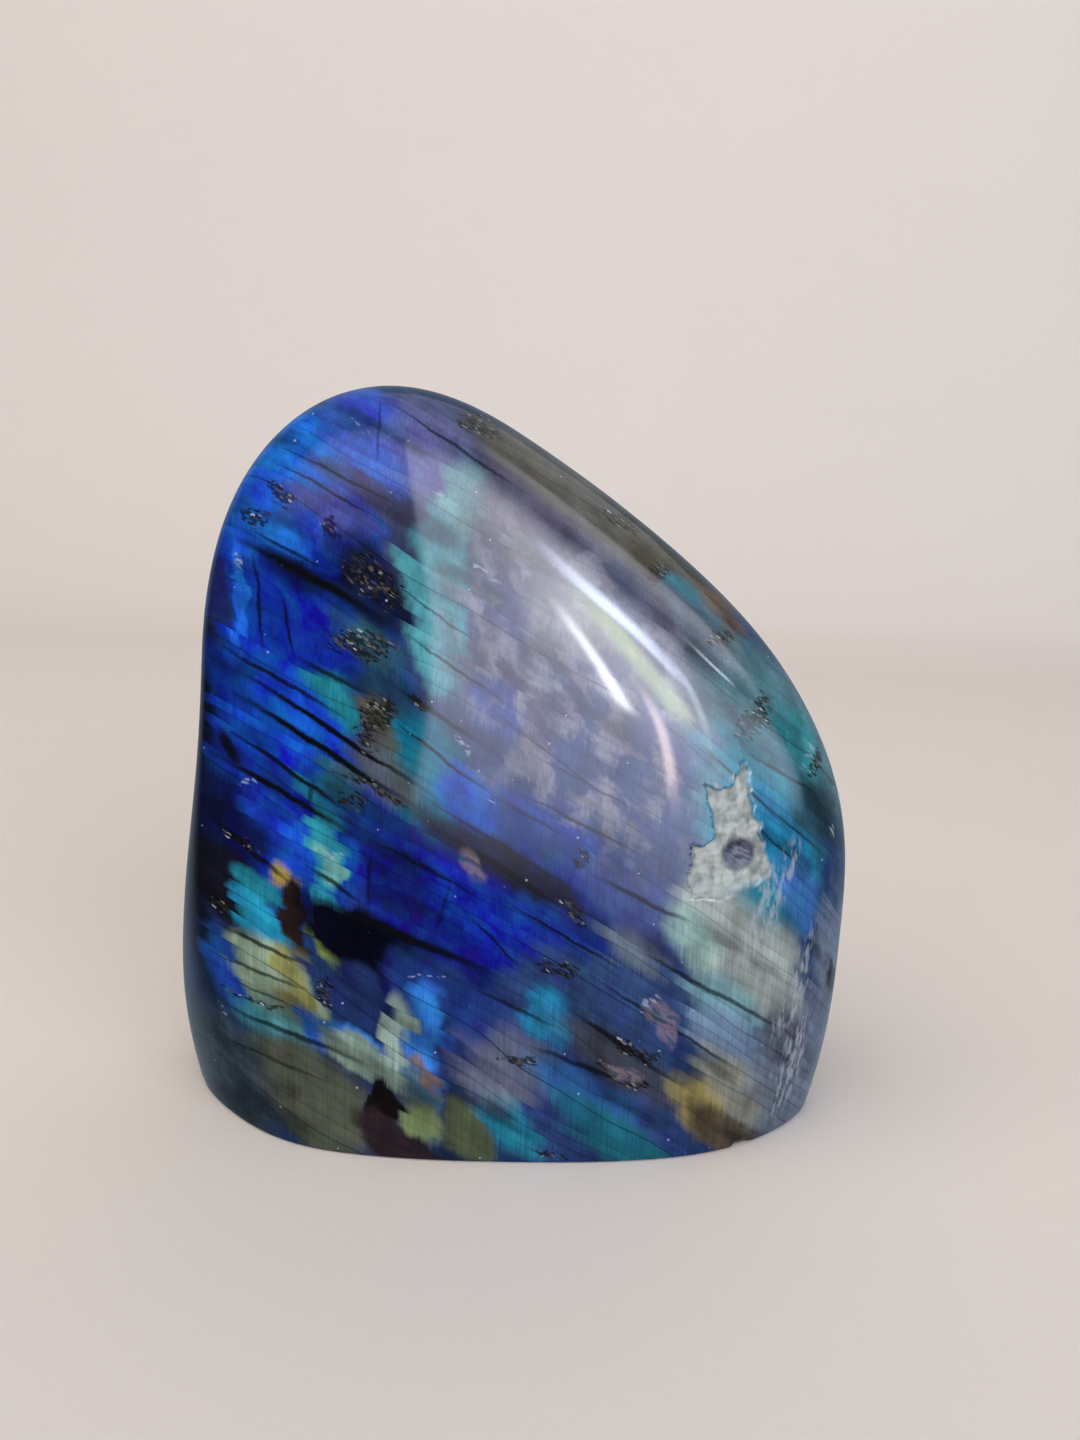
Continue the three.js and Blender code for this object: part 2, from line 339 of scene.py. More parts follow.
def stone_gauge(offset):
    """1 on the polished skin, less inside, for offsets from the heart."""
    outline = np.hypot(offset[..., 0], offset[..., 2]) / outline_radius(
        np.arctan2(offset[..., 2], offset[..., 0])
    )
    front = faces_gauge(offset, FRONT_FACES)
    back = faces_gauge(offset, BACK_FACES)
    return (outline ** RIM_BLEND + front ** RIM_BLEND + back ** RIM_BLEND) ** (1 / RIM_BLEND)


def spread(count, low, high, dense):
    """Places from low to high, closer together where dense gives more."""
    fine = np.linspace(low, high, 4000)
    weight = np.cumsum(dense(fine))
    weight = (weight - weight[0]) / (weight[-1] - weight[0])
    return np.interp(np.linspace(0, 1, count), weight, fine)


# Columns run round the outline and rows from the front pole to the back, both closer at the hollow
turns = spread(
    COLUMNS + 1, -math.pi, math.pi,
    lambda a: 1 + 2.2 * (np.abs(a - math.radians(13)) < math.radians(24)),
)[:-1]
front, back, rim = FRONT_FACES[0][1], BACK_FACES[0][1], OUTLINE[0]
path = spread(
    ROWS, 1.0, 2 * rim + front + back - 1.0,
    lambda s: 1 + 1.6 * ((s > 24) & (s < 50)) + 1.4 * ((s > rim - 9) & (s < rim + 53)),
)
tips = [(-front, s) if s < rim else (s - rim - front, rim) if s < rim + front + back
        else (back, 2 * rim + front + back - s) for s in path]
lean = np.array([math.atan2(reach, -depth) for depth, reach in tips])

turn_grid, lean_grid = np.meshgrid(turns, lean)
directions = np.stack([
    np.sin(lean_grid) * np.cos(turn_grid),
    -np.cos(lean_grid),
    np.sin(lean_grid) * np.sin(turn_grid),
], -1).reshape(-1, 3)
directions = np.vstack([[0, -1, 0], directions, [0, 1, 0]])
skin = directions / stone_gauge(directions)[:, None]
slope = np.stack([
    stone_gauge(skin + step) - stone_gauge(skin - step) for step in np.eye(3) * 0.05
], -1)
outward = slope / np.linalg.norm(slope, axis=1)[:, None]
skin = skin + HEART


def lumps(points, size, seed):
    """Gentle noise between -1 and 1 at each point, size in mm."""
    return np.array([noise.noise(Vector(p / size) + Vector((seed, 0, 0))) for p in points])


# Hand polishing leaves the faces very slightly wavy
skin = skin + outward * (WAVE_HEIGHT * lumps(skin, WAVE_LENGTH, 3.1))[:, None]

# The hollow: a ragged step down at its left, a rough floor that rises to the right, and a pit
flat = skin[:, [0, 2]]
margin = 4
near = (
    (skin[:, 1] < 0)
    & (flat > HOLLOW_RIM.min(0) - margin).all(1)
    & (flat < HOLLOW_RIM.max(0) + margin).all(1)
)
spots = skin[near]
torn = np.stack([lumps(spots, 1.7, 9.0), lumps(spots, 1.4, 23.0)], -1)
ragged = flat[near] + RIM_RAGGED * torn
inside = np.zeros(len(ragged), bool)
reach = np.full(len(ragged), 1e9)
for (ax, az), (bx, bz) in zip(HOLLOW_RIM, np.roll(HOLLOW_RIM, -1, 0)):
    px, pz = ragged[:, 0], ragged[:, 1]
    crosses = ((az > pz) != (bz > pz)) & (px < (bx - ax) * (pz - az) / (bz - az + 1e-12) + ax)
    inside ^= crosses
    share = np.clip(
        ((px - ax) * (bx - ax) + (pz - az) * (bz - az)) / ((bx - ax) ** 2 + (bz - az) ** 2), 0, 1,
    )
    reach = np.minimum(reach, np.hypot(px - ax - share * (bx - ax), pz - az - share * (bz - az)))
reach = np.where(inside, reach, -reach)
step = np.clip(reach / STEP_RUN, 0, 1)
ledge = LEDGE_DEPTH - LEDGE_RISE * (flat[near][:, 0] - HOLLOW_RIM[:, 0].min())
ledge = ledge - FOOT_RISE * np.maximum(0, FOOT_TOP - flat[near][:, 1])
away = np.hypot(flat[near][:, 0] - PIT_MIDDLE[0], flat[near][:, 1] - PIT_MIDDLE[1]) / PIT_RADIUS
pit = PIT_DEPTH * np.exp(-(away ** 4))
grain = sum(height * lumps(spots, size, seed) for height, size, seed in FLOOR_GRAIN)
depth = step * np.maximum(0.02, ledge + pit + grain)
skin[near] -= outward[near] * depth[:, None]
unpolished = np.zeros(len(skin))
unpolished[near] = np.clip(reach / MATT_RUN, 0, 1) * np.clip(
    (ledge + pit + 0.1) / MATT_DEPTH, 0, 1,
)

# Small losses on the edges, each a scooped shell
for middle, half, turn in CHIPS:
    turned = np.array(Matrix.Rotation(math.radians(turn), 3, "Z"))
    size = np.array(half) * (1 + CHIP_RAGGED * lumps(skin, 1.3, 71.0))[:, None]
    local = ((skin - np.array(middle)) @ turned) / size
    inward = (-outward @ turned) / size
    close = (local ** 2).sum(1) < 1
    a = (inward[close] ** 2).sum(1)
    b = (local[close] * inward[close]).sum(1)
    c = (local[close] ** 2).sum(1) - 1
    travel = (-b + np.sqrt(b ** 2 - a * c)) / a
    skin[close] -= outward[close] * travel[:, None]
    unpolished[close] = 1

last = len(skin) - 1
count = COLUMNS
quads = [(0, 1 + c, 1 + (c + 1) % count) for c in range(count)]
for r in range(ROWS - 1):
    for c in range(count):
        n = (c + 1) % count
        quads.append((1 + r * count + c, 1 + (r + 1) * count + c,
                      1 + (r + 1) * count + n, 1 + r * count + n))
quads += [(last, 1 + (ROWS - 1) * count + (c + 1) % count, 1 + (ROWS - 1) * count + c)
          for c in range(count)]
mesh = bpy.data.meshes.new("polished_stone")
mesh.from_pydata((skin / 1000).tolist(), [], quads)
mesh.attributes.new("unpolished", "FLOAT", "POINT").data.foreach_set("value", unpolished)

# Sawn off level, with the edge of the flat worn round
shape = bmesh.new()
shape.from_mesh(mesh)
for height in EDGE_RINGS:
    bmesh.ops.bisect_plane(
        shape, geom=shape.verts[:] + shape.edges[:] + shape.faces[:],
        plane_co=(0, 0, height / 1000), plane_no=(0, 0, 1), dist=1e-7, clear_inner=height == 0,
    )
edge = [e for e in shape.edges if e.is_boundary]
cap = bmesh.ops.contextual_create(shape, geom=edge)["faces"]
shape.normal_update()
radius = BASE_EDGE / 1000
for vert in shape.verts:
    if vert.co.z < radius:
        rise = 1 - vert.co.z / radius
        pull = radius * EDGE_PULL * (1 - math.sqrt(max(0, 1 - rise ** 2)))
        side = Vector((vert.co.x, vert.co.y * FLAT_SHAPE, 0)).normalized()
        vert.co -= side * pull
bmesh.ops.triangulate(shape, faces=[f for f in shape.faces if len(f.verts) > 4])
for face in shape.faces:
    face.smooth = not all(v.co.z < 1e-6 for v in face.verts)
shape.to_mesh(mesh)
shape.free()
mesh.set_sharp_from_angle(angle=math.radians(38))

stone = bpy.data.objects.new("polished_stone", mesh)
bpy.context.scene.collection.objects.link(stone)
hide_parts("labradorite")
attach(stone, "root")

# Polished labradorite: glassy at the surface, refractive index 1.56. Its colour lies below in zones of
# thin layers, cut by cleavage planes that fall to the right and back, with upright twin bands as fine
# as fibres. Grit, pale flakes and a few flakes with rainbow edges sit along the planes.
labradorite = bpy.data.materials.new("polished_labradorite")
labradorite.use_nodes = True
tree = labradorite.node_tree
shader = tree.nodes["Principled BSDF"]
shader.inputs["IOR"].default_value = 1.56

CLEAVAGE = Vector((0.57, 0.52, 1.0))  # a plane's level is the height where it meets the middle line
SLAB = 2.3  # mm of level from one parting to the next, on average
HAIRLINE_GAP = 1.5  # mm of level between the fine partings
TWIN_BAND = 0.34  # mm across one upright twin band, coarser than the real ones so that they show
SLAB_DRIFT = 5.0  # slabs that the partings wander up and down, at most
HAIR_DRIFT = 3.4  # hairline gaps that the fine partings wander, at most
SLAB_SLIDE = 1.4  # mm that a slab's piece of a zone is pushed to either side, at most
BAND_FRAY = 0.6  # mm that the twin bands fray the edge of a zone
ZONE_BEND = Vector((3.5, 0, 2.5))  # mm that a zone's outline is bent, across and up
GRAIN = 0.36  # mm, a grain of grit, coarser than the finest real ones so that it shows
SPECK_GAP = 2.6  # mm from one stray speck to the next
ZONE_GROWTH = 1.06  # bending wears a zone down a little, so each is drawn larger
CRACK_TAIL = 2  # mm that a crack fades out past each end
CRACK_SPREAD = 2.2  # a crack's soft edge thins it, so each is drawn thicker
GROUND = "#20355c"  # the slate blue under all the zones
DULL_STONE = "#3a4144"  # the grey-green of the stone where no layer flashes
POLISH_ROUGHNESS = 0.06
BROKEN_ROUGHNESS = 0.48

# Colour zones of the front, each laid over the ones before it, one of them a painted reflection haze:
# name, colour, middle as x and level, half width, half height, softness of its edge, strength; all in
# mm
FLASH_AND_HAZE_ZONES = [
    ("violet ground", "#454f68", 9, 84, 28, 34, 0.3, 1),
    ("blue-grey ground", "#344a76", 19.5, 55, 26.5, 25.5, 0.4, 1),
    ("lower ground", "#293f70", 6, 12.5, 26, 21, 0.3, 1),
    ("left ground", "#0b3ca4", -35.5, 51.5, 17, 39, 0.18, 1),
    ("azure crest", "#1b72da", -37, 87.5, 8.5, 9, 0.25, 1),
    ("blue crest", "#3a5ec2", -24.5, 98, 8, 8.5, 0.3, 0.95),
    ("violet crest", "#64679a", -16, 100.5, 6.5, 8.5, 0.4, 0.8),
    ("mauve seam", "#48445e", -26, 87.5, 8, 3, 0.3, 0.75),
    ("upper left azure", "#1a62cc", -40.5, 74, 6, 9, 0.3, 1),
    ("inner blue", "#2848b0", -30, 79.5, 7.5, 5.5, 0.35, 0.9),
    ("mauve under seam", "#4c4c86", -29.5, 81.5, 5.5, 3, 0.4, 0.75),
    ("soot above step", "#0e1322", -24, 72.5, 6, 7, 0.3, 0.92),
    ("deep under step", "#0a2a94", -34, 60.5, 8, 8, 0.2, 1),
    ("navy under step", "#07123e", -34, 68, 6.5, 2.5, 0.5, 0.8),
    ("azure stripe", "#1d6be2", -44.5, 59, 1, 8, 0.3, 0.95),
    ("violet left edge", "#1c2250", -48, 56, 2, 7.5, 0.35, 0.9),
    ("grey-green speckle ground", "#2f5a60", -23, 63, 5.5, 3.5, 0.4, 0.85),
    ("left edge night", "#060a20", -52, 23.5, 4, 30, 0.5, 1),
    ("teal wedge", "#207e8c", -28.5, 50.5, 4, 4, 0.35, 1),
    ("bright slab", "#0e50c8", -35, 43, 8, 7, 0.25, 0.9),
    ("third slab", "#0c44cc", -36.5, 33, 6, 5, 0.2, 0.95),
    ("azure slab end", "#2390b6", -29, 33.5, 3.5, 4, 0.3, 0.95),
    ("teal grey slab end", "#28606a", -26.5, 37.5, 4, 4, 0.4, 0.8),
    ("night slab", "#0a1240", -45.5, 21, 6.5, 7, 0.35, 0.95),
    ("violet slab", "#0f2a98", -36.5, 25.5, 5, 6, 0.35, 0.9),
    ("blue tongue", "#1252cc", -34, 22.5, 2.5, 5, 0.4, 0.85),
    ("turquoise stripe", "#2a92a6", -29, 25, 3, 6.5, 0.25, 1),
    ("pale turquoise", "#74b4ae", -28.5, 23, 2, 3, 0.35, 0.85),
    ("pale teal band", "#4b97a2", -13, 76.5, 5, 14, 0.2, 1),
    ("pale teal head", "#6aa0a2", -10, 97, 3.5, 6.5, 0.4, 0.85),
    ("lavender ground", "#56546a", 1, 100.5, 10, 9, 0.35, 0.85),
    ("violet blue middle", "#4a5884", -4, 79.5, 5, 6.5, 0.4, 0.7),
    ("pale middle", "#7c868c", 4.5, 84.5, 4.5, 6, 0.5, 0.6),
    ("mauve grey middle", "#4c4e62", -2, 68.5, 8.5, 6, 0.35, 0.8),
    ("blue under mauve", "#34509c", -3, 65.5, 4.5, 4.5, 0.4, 0.75),
    ("dark green centre", "#203c44", -21, 55, 4.5, 5.5, 0.4, 0.85),
    ("teal centre", "#0e6c86", -13.5, 47, 6.5, 9.5, 0.22, 1),
    ("blue below teal", "#1458c0", -7, 47, 5, 5.5, 0.3, 0.9),
    ("olive smoke", "#4c4a36", -21.5, 50.5, 3, 4, 0.45, 0.85),
    ("grey lens", "#555c56", -21, 43, 5, 4.5, 0.5, 0.85),
    ("blue dark under lens", "#123070", -21.5, 34, 7, 4, 0.35, 0.85),
    ("slate heart left", "#1b2a66", -20, 25.5, 2.5, 5.5, 0.3, 0.85),
    ("ultramarine heart", "#0e1c80", -12, 25, 10.5, 11.5, 0.16, 1),
    ("ultramarine vivid", "#0b289c", -4, 32.5, 10, 8.5, 0.25, 0.95),
    ("blue slab right", "#173f90", 8.5, 47, 11.5, 7.5, 0.3, 0.9),
    ("blue slab low", "#123184", 7.5, 38.5, 9, 6.5, 0.25, 0.9),
    ("violet blue right", "#3a4a82", 21, 45.5, 8, 6, 0.35, 0.75),
    ("dark band", "#15101a", -1.5, 40, 14, 3, 0.4, 0.9),
    ("soot left", "#110f18", -44.5, 9.5, 7.5, 6.5, 0.25, 0.95),
    ("teal left", "#1f8296", -40, 12.5, 4, 2.5, 0.3, 0.9),
    ("gold spot", "#a08836", -35.5, 16.5, 2, 2, 0.5, 0.95),
    ("azure teal left", "#2090b6", -40, 7, 4, 3.5, 0.25, 0.95),
    ("brown inclusion", "#221814", -34, 10.5, 2, 5, 0.22, 1),
    ("turquoise low", "#2aa0ba", -28.5, 16, 3, 2, 0.25, 0.95),
    ("green-yellow stripe", "#88a04c", -28.5, 11, 2.5, 4, 0.3, 0.95),
    ("black wedge", "#030310", -18, 12.5, 14.5, 6, 0.18, 1),
    ("blue left margin", "#1c54ae", -46.5, -5.5, 4, 6, 0.35, 0.9),
    ("pale lens", "#8ca68e", -37.5, -3, 7, 7, 0.18, 1),
    ("olive vein", "#8a8644", -34.5, -2, 2.5, 6.5, 0.4, 0.85),
    ("teal lens foot", "#4796a2", -39, -10.5, 6, 3.5, 0.45, 0.8),
    ("azure lens foot", "#1f70d4", -32, -7, 3, 2.5, 0.4, 0.95),
    ("blue-grey lens", "#1c2c5a", -23.5, 2, 5, 6.5, 0.2, 1),
    ("azure rim", "#2b80d4", -23.5, -4.5, 5.5, 1.5, 0.5, 0.95),
    ("blue lower middle", "#1c3478", -7.5, 9.5, 11, 8.5, 0.25, 0.95),
    ("pale arm", "#98b2a6", -17, 0.5, 2.5, 6.5, 0.3, 0.95),
    ("pale arc", "#8ca694", -23, -7, 6.5, 3, 0.3, 0.95),
    ("azure streak", "#2f80da", -12, 3, 2.5, 9, 0.4, 0.85),
    ("olive body", "#4e5446", -31.5, -19.5, 10.5, 9, 0.22, 1),
    ("slate corner", "#34454e", -47.5, -25.5, 9.5, 10.5, 0.3, 0.95),
    ("ring", "#48687e", -14, -6.5, 2.5, 4, 0.4, 0.85),
    ("ochre ring", "#6e5638", -12, -3.5, 1.5, 2.5, 0.45, 0.85),
    ("green ring foot", "#76885a", -14, -12.5, 3.5, 3.5, 0.35, 0.95),
    ("olive block", "#505a3e", -6, -9.5, 4.5, 5.5, 0.25, 0.95),
    ("black column", "#110c0b", -20, -14.5, 2.5, 5.5, 0.16, 1),
    ("matrix", "#2b2024", -16, -19, 7.5, 3.5, 0.25, 1),
    ("teal low", "#22809a", 1.5, -3.5, 5, 5, 0.3, 0.95),
    ("silver veil", "#7c8092", -2, 2.5, 5, 5, 0.5, 0.75),
    ("grey veil", "#666e78", 4.5, 9, 5, 4.5, 0.5, 0.65),
    ("teal azure low", "#1f86b4", 7, 18.5, 3.5, 4.5, 0.35, 0.9),
    ("blue low right", "#2e446e", 17.5, 25.5, 7.5, 9.5, 0.3, 0.85),
    ("azure blue low", "#2a5890", 14.5, 8.5, 9, 4.5, 0.3, 0.95),
    ("teal dark low", "#1b6070", 20.5, 4.5, 10, 4.5, 0.3, 0.9),
    ("grey patch", "#66727e", 20, 39, 4.5, 3, 0.45, 0.8),
    ("olive smoke right", "#3c3a2c", 20, 18, 11, 4, 0.5, 0.7),
    ("milky", "#98a5a0", 38.5, 50.5, 11, 10.5, 0.22, 1),
    ("milky teal edge", "#90b8b0", 29, 47.5, 4, 4.5, 0.45, 0.8),
    ("teal stripe in milk", "#78a6b0", 36, 39, 6.5, 5, 0.35, 0.85),
    ("blue-grey low milk", "#7088a4", 36.5, 33, 6, 4.5, 0.35, 0.9),
    ("olive-grey milk", "#868a7c", 40, 25.5, 7, 5.5, 0.3, 0.95),
    ("slate right", "#626c7a", 49.5, 31, 6.5, 16, 0.35, 0.9),
    ("olive gold", "#9a9058", 33, 19, 4, 5, 0.4, 0.95),
    ("brown low right", "#484030", 39.5, 16.5, 7.5, 4, 0.3, 0.95),
    ("bevel grey", "#4f7a84", 41, 93, 15, 13.5, 0.25, 0.95),
    ("teal bevel", "#2b869e", 39.5, 74, 11, 14.5, 0.25, 1),
    ("deep teal bevel", "#1c78a4", 44.5, 74, 5.5, 7, 0.35, 0.9),
    ("blue bevel low", "#3c70b0", 48.5, 67, 4, 5.5, 0.4, 0.9),
    ("dark bevel rim", "#263c46", 50, 83.5, 4, 6, 0.4, 0.85),
    ("slate rim", "#66748a", 57, 51.5, 4.5, 20, 0.25, 0.95),
    ("dark rim spot", "#24272a", 56.5, 57.5, 2, 3, 0.4, 0.9),
    ("olive grey band", "#4e4e47", 10, 111.5, 18.5, 7, 0.2, 0.95),
    ("olive dark band", "#393828", 23, 109.5, 8.5, 6, 0.35, 0.9),
    ("smoke grey band", "#5e5e58", 10, 112.5, 8, 5.5, 0.5, 0.6),
    ("teal blue band", "#2c7c94", 27.5, 104, 5.5, 5.5, 0.35, 0.9),
    ("orange rim", "#665038", 33, 110.5, 3.5, 5.5, 0.5, 0.8),
    # painted reflection: the soft mauve haze of the window mirrored on the upper right shoulder
    ("painted mauve haze", "#5a5c6c", 26, 99, 8, 6, 0.4, 0.7),
    ("teal band end", "#30868e", 47, 94, 4.5, 5.5, 0.4, 0.9),
]

# Cracks that follow a cleavage plane or stand upright: from x and level to x and level, half
# thickness in mm, darkness
CRACKS = [
    ((-39.5, 87), (-20, 88), 0.2, 0.8),  # double upper
    ((-40, 84), (-23.5, 84), 0.2, 0.8),  # double lower
    ((-43, 70.5), (-30, 71), 0.2, 0.8),  # upper companion
    ((-47, 68), (-18.5, 68.5), 0.6, 1),  # black step
    ((-41.5, 68), (-29.5, 68.5), 1.02, 0.9),  # black step root
    ((-19.5, 75.5), (-6, 73.5), 0.17, 0.7),  # teal fine upper
    ((-18.5, 68.5), (-0.5, 66.5), 0.2, 0.8),  # teal fine
    ((-48.5, 49), (-25.5, 48.5), 0.31, 0.9),  # left step
    ((-47.5, 46.5), (-10, 44.5), 0.37, 1),  # left step below
    ((-34.5, 54), (-23, 55), 0.41, 0.85),  # smudge root
    ((-47.5, 42.5), (-13, 41), 0.44, 1),  # lens shade
    ((-47.5, 36), (-23.5, 33.5), 0.37, 0.95),  # mid left
    ((-49.5, 30.5), (-23.5, 30.5), 0.37, 1),  # low left
    ((-23, 31.5), (-2.5, 32.5), 0.24, 0.8),  # ultramarine upper
    ((-49, 20), (-34, 16), 0.37, 0.9),  # navy line
    ((-31.5, 20.5), (-24, 20), 0.31, 0.9),  # turquoise step
    ((-19.5, 53), (-3, 50.5), 0.26, 0.9),  # teal step
    ((-3, 50.5), (9, 51), 0.2, 0.7),  # veil step
    ((-18.5, 58.5), (-5.5, 58), 0.37, 0.85),  # soot line
    ((-15, 39.5), (12, 39), 0.54, 0.95),  # dark band line
    ((-15.5, 43.5), (13, 43), 0.27, 0.8),  # above dark band
    ((-6, 64.5), (14, 61.5), 0.17, 0.6),  # violet fine 1
    ((3.5, 61), (19.5, 62.5), 0.19, 0.65),  # violet fine 2
    ((-0.5, 53.5), (23, 56), 0.22, 0.75),  # violet fine 3
    ((13, 47.5), (30.5, 49.5), 0.34, 0.85),  # blue right line
    ((-1.5, 34), (19.5, 34.5), 0.24, 0.85),  # below heart
    ((17.5, 39), (53.5, 42), 0.31, 0.8),  # milky line
    ((12.5, 30.5), (41.5, 29), 0.27, 0.85),  # milky line low
    ((9.5, 22.5), (29.5, 20.5), 0.44, 0.9),  # olive seam
    ((4, 12), (23, 16), 0.34, 0.8),  # low curl
    ((-33, 15.5), (2, 21.5), 0.54, 0.95),  # black upper edge
    ((-5.5, 28), (1.5, 25), 0.24, 0.8),  # heart low line
    ((-5, 16.5), (9, 18), 0.27, 0.7),  # low blue line
    ((-47.5, 1.5), (-31, 4), 0.31, 0.85),  # lens top line
    ((-50, -4.5), (-31, -0.5), 0.22, 0.8),  # lens vein
    ((-46.5, -7), (-32, -4.5), 0.17, 0.65),  # lens vein low
    ((-48, -12.5), (-21, -7.5), 0.34, 0.85),  # olive line
    ((-49, -19), (-26.5, -14.5), 0.24, 0.6),  # olive line low
    ((-23.5, 105.5), (0, 104), 0.26, 0.75),  # crest seam
    ((28.5, 80.5), (45.5, 76), 0.26, 0.75),  # bevel crack 1
    ((36, 84.5), (50.5, 86), 0.27, 0.8),  # bevel crack 2
    ((39.5, 77.5), (51, 76.5), 0.22, 0.7),  # bevel crack 3
    ((37, 73.5), (50, 70.5), 0.2, 0.6),  # bevel crack 4
    ((19, 81), (35.5, 76.5), 0.17, 0.45),  # shoulder line
    ((-42, 68), (-39.5, 51), 0.22, 0.85),  # upright 1
    ((-37, 62.5), (-35, 54), 0.22, 0.85),  # upright 2
    ((-23.5, 105.5), (-23.5, 93), 0.17, 0.55),  # upright 4
    ((-31.5, 34.5), (-32, 31), 0.26, 0.7),  # upright 6
    ((-22, 29.5), (-22.5, 20), 0.26, 0.7),  # upright 7
    ((-9.5, 31.5), (-11.5, 22), 0.22, 0.5),  # upright 8
    ((-46.5, 35), (-44, 31), 0.85, 0.95),  # rim crack
]

# Dark grit in clusters, seen from the front: middle x and z, half length and breadth, tilt
GRIT = [
    (-38, 107, 2.6, 1.4, -35), (-41.5, 103.5, 1.5, 1.2, 5), (-29.5, 102.5, 2.3, 1.5, -45),
    (-23.5, 95, 5.2, 2.7, -25), (-24.5, 85.5, 4.9, 2.4, -5), (-22, 74, 3.1, 2.1, 25),
    (-22.5, 71, 2.5, 1.6, -60), (-15.5, 76.5, 2.2, 0.8, -30), (-22, 62.5, 5.3, 0.6, -25),
    (-25, 60.5, 3.1, 1.1, -35), (-29, 29, 1.6, 2.4, 5), (-46.5, 42, 2.2, 1.1, 5),
    (-43.5, 53.5, 4.1, 0.5, -30), (-8.5, 119, 3.7, 1.9, -15), (15, 104.5, 4, 1.4, -30),
    (21.5, 97, 1.7, 2.8, -55), (32.5, 87, 2.4, 1, -5), (38, 75, 2.1, 3.9, -55),
    (10.5, 53, 1.6, 1.3, 0), (8, 34.5, 2.2, 1.3, 0), (10.5, 44, 2.6, 1, -30),
    (2.5, 18.5, 2.9, 0.7, 0), (-41.5, 26, 5.2, 0.5, -5), (20.5, 16, 4.6, 1.3, -35),
    (50.5, 66.5, 1.5, 2.7, -55), (21.5, 21, 4.2, 0.8, -30), (8.5, 1.5, 2.7, 0.7, -10),
]
# Pale flakes, rainbow flakes and silvery splinters, placed in the same way
PALE_FLAKES = [
    (-26.5, 117.5, 2, 0.6, -35), (-44.5, 96.5, 0.7, 1.5, 5), (-8.5, 71, 2, 0.6, -55),
    (-3.5, 62.5, 1.1, 0.4, -45), (-13.5, 107, 1.5, 0.6, -55), (-7.5, 97, 3.7, 0.4, -30),
    (-42, 62.5, 1.5, 0.6, 30), (-28.5, 52.5, 1.9, 0.8, 0), (-47.5, 21.5, 0.6, 0.9, 25),
    (48.5, 68, 1.3, 2.1, -30), (53.5, 55, 0.9, 0.8, -15), (24.5, 28.5, 0.9, 1.6, -50),
    (-13, 32.5, 3.8, 0.2, 0),
]
RAINBOW_FLAKES = [(-6, 51.5, 3.3, 1.2, -40), (26, 25, 1.7, 4, 15), (20.5, 17, 3.2, 1.4, -25)]
FEATHERS = [
    (36, 65, 1.2, 3.7, 0), (43, 46, 2.2, 9.5, -22), (49.5, 30, 2, 10, -15),
    (50, 13, 2.4, 9.5, -10), (32, 62.5, 0.8, 3.2, 15),
]

object_place = node(tree, "ShaderNodeTexCoord", output="Object")
mm = node(
    tree, "ShaderNodeVectorMath", {0: object_place, 1: (1000, 1000, 1000)}, operation="MULTIPLY",
)
x, y, z = node(tree, "ShaderNodeSeparateXYZ", {0: mm}).node.outputs
level = node(
    tree, "ShaderNodeVectorMath", {0: mm, 1: CLEAVAGE}, output="Value", operation="DOT_PRODUCT",
)
sheet = node(tree, "ShaderNodeCombineXYZ", {0: x, 1: y, 2: level})
plan = node(tree, "ShaderNodeCombineXYZ", {0: x, 2: level})
face = node(tree, "ShaderNodeCombineXYZ", {0: x, 2: z})

# Fine texture: twin bands, and partings whose spacing wanders over stretches of 16 mm. Each noise
# has a Scale of 1 over its size in mm, and runs longer the way its mapping's scale is small.
fibres = node(
    tree, "ShaderNodeTexNoise", {"Vector": mm, "Scale": 1 / TWIN_BAND, "Detail": 2},
    mapping={"scale": (1, 1, 0.025)},
)
drift = node(
    tree, "ShaderNodeTexNoise", {"Vector": sheet, "Scale": 1 / 16, "Detail": 2},
    mapping={"scale": (0.35, 0.35, 1)},
)
slabs = node(tree, "ShaderNodeMath", {0: drift, 1: SLAB_DRIFT}, operation="MULTIPLY")
slabs = node(
    tree, "ShaderNodeMath", {0: level, 1: 1 / SLAB, 2: slabs}, operation="MULTIPLY_ADD",
)
slab_share = node(tree, "ShaderNodeMath", {0: slabs}, operation="FRACT")
slab_index = node(tree, "ShaderNodeMath", {0: slabs}, operation="FLOOR")
slab_chance = node(
    tree, "ShaderNodeTexWhiteNoise", {"W": slab_index}, output="Value", noise_dimensions="1D",
)

# Where a zone's colour is read: each slab slides its piece of the zone sideways, the twin bands fray
# its edge and a little noise bends it
slide = node(
    tree, "ShaderNodeMath", {0: slab_chance, 1: 2 * SLAB_SLIDE, 2: -SLAB_SLIDE},
    operation="MULTIPLY_ADD",
)
fray = node(
    tree, "ShaderNodeMath", {0: fibres, 1: 2 * BAND_FRAY, 2: -BAND_FRAY},
    operation="MULTIPLY_ADD",
)
slip = node(tree, "ShaderNodeCombineXYZ", {0: slide, 2: fray})
bend = node(
    tree, "ShaderNodeTexNoise", {"Vector": mm, "Scale": 1 / 6, "Detail": 3},
    output="Color", mapping={"scale": (1, 1, 0.8)},
)
bend = node(
    tree, "ShaderNodeVectorMath", {0: bend, 1: 2 * ZONE_BEND, 2: -ZONE_BEND},
    operation="MULTIPLY_ADD",
)
zone_plan = node(tree, "ShaderNodeVectorMath", {0: plan, 1: slip}, operation="ADD")
zone_plan = node(tree, "ShaderNodeVectorMath", {0: zone_plan, 1: bend}, operation="ADD")

